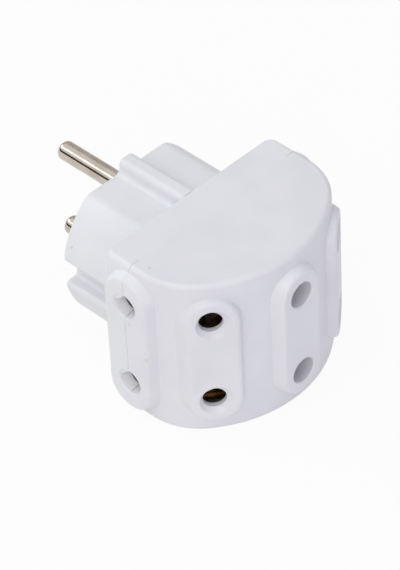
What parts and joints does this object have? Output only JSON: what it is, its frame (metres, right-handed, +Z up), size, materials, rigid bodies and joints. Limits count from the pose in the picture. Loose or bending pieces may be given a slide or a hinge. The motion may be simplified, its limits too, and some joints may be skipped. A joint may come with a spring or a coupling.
{
  "type": "multi socket adapter",
  "caption": "White mains adapter with a round-pin plug at the back and a half-oval body whose raised pads each hold a pair of round socket holes.",
  "frame": {"origin": "on the plug face, midway between the two plug pins", "axes": "+Y the way the plug pins point, +Z up from the lower pin to the upper one, +X to the right seen from the socket side; the part rests on its lower half-oval face at Z = -18.1 mm"},
  "size_m": [0.048, 0.0631, 0.0362],
  "materials": {
    "shell_white": "moulded white plastic with a soft sheen",
    "cover_white": "moulded white plastic with a soft sheen",
    "pin_nickel": "turned brass, nickel plated, lightly scratched",
    "strip_brass": "stamped brass strip",
    "clip_brass": "folded spring brass",
    "rivet_brass": "headed brass wire",
    "screw_steel": "zinc plated steel"
  },
  "bodies": {
    "root": {"front_shell": "shell_white", "rear_cover": "cover_white", "plug_pin_upper": "pin_nickel", "plug_pin_lower": "pin_nickel", "contact_strip_upper": "strip_brass", "contact_strip_lower": "strip_brass", "socket_clip_upper_1": "clip_brass", "socket_clip_upper_2": "clip_brass", "socket_clip_upper_3": "clip_brass", "socket_clip_upper_4": "clip_brass", "socket_clip_upper_5": "clip_brass", "socket_clip_lower_1": "clip_brass", "socket_clip_lower_2": "clip_brass", "socket_clip_lower_3": "clip_brass", "socket_clip_lower_4": "clip_brass", "socket_clip_lower_5": "clip_brass", "clip_rivets": "rivet_brass", "assembly_screw": "screw_steel"}
  },
  "joints": []
}
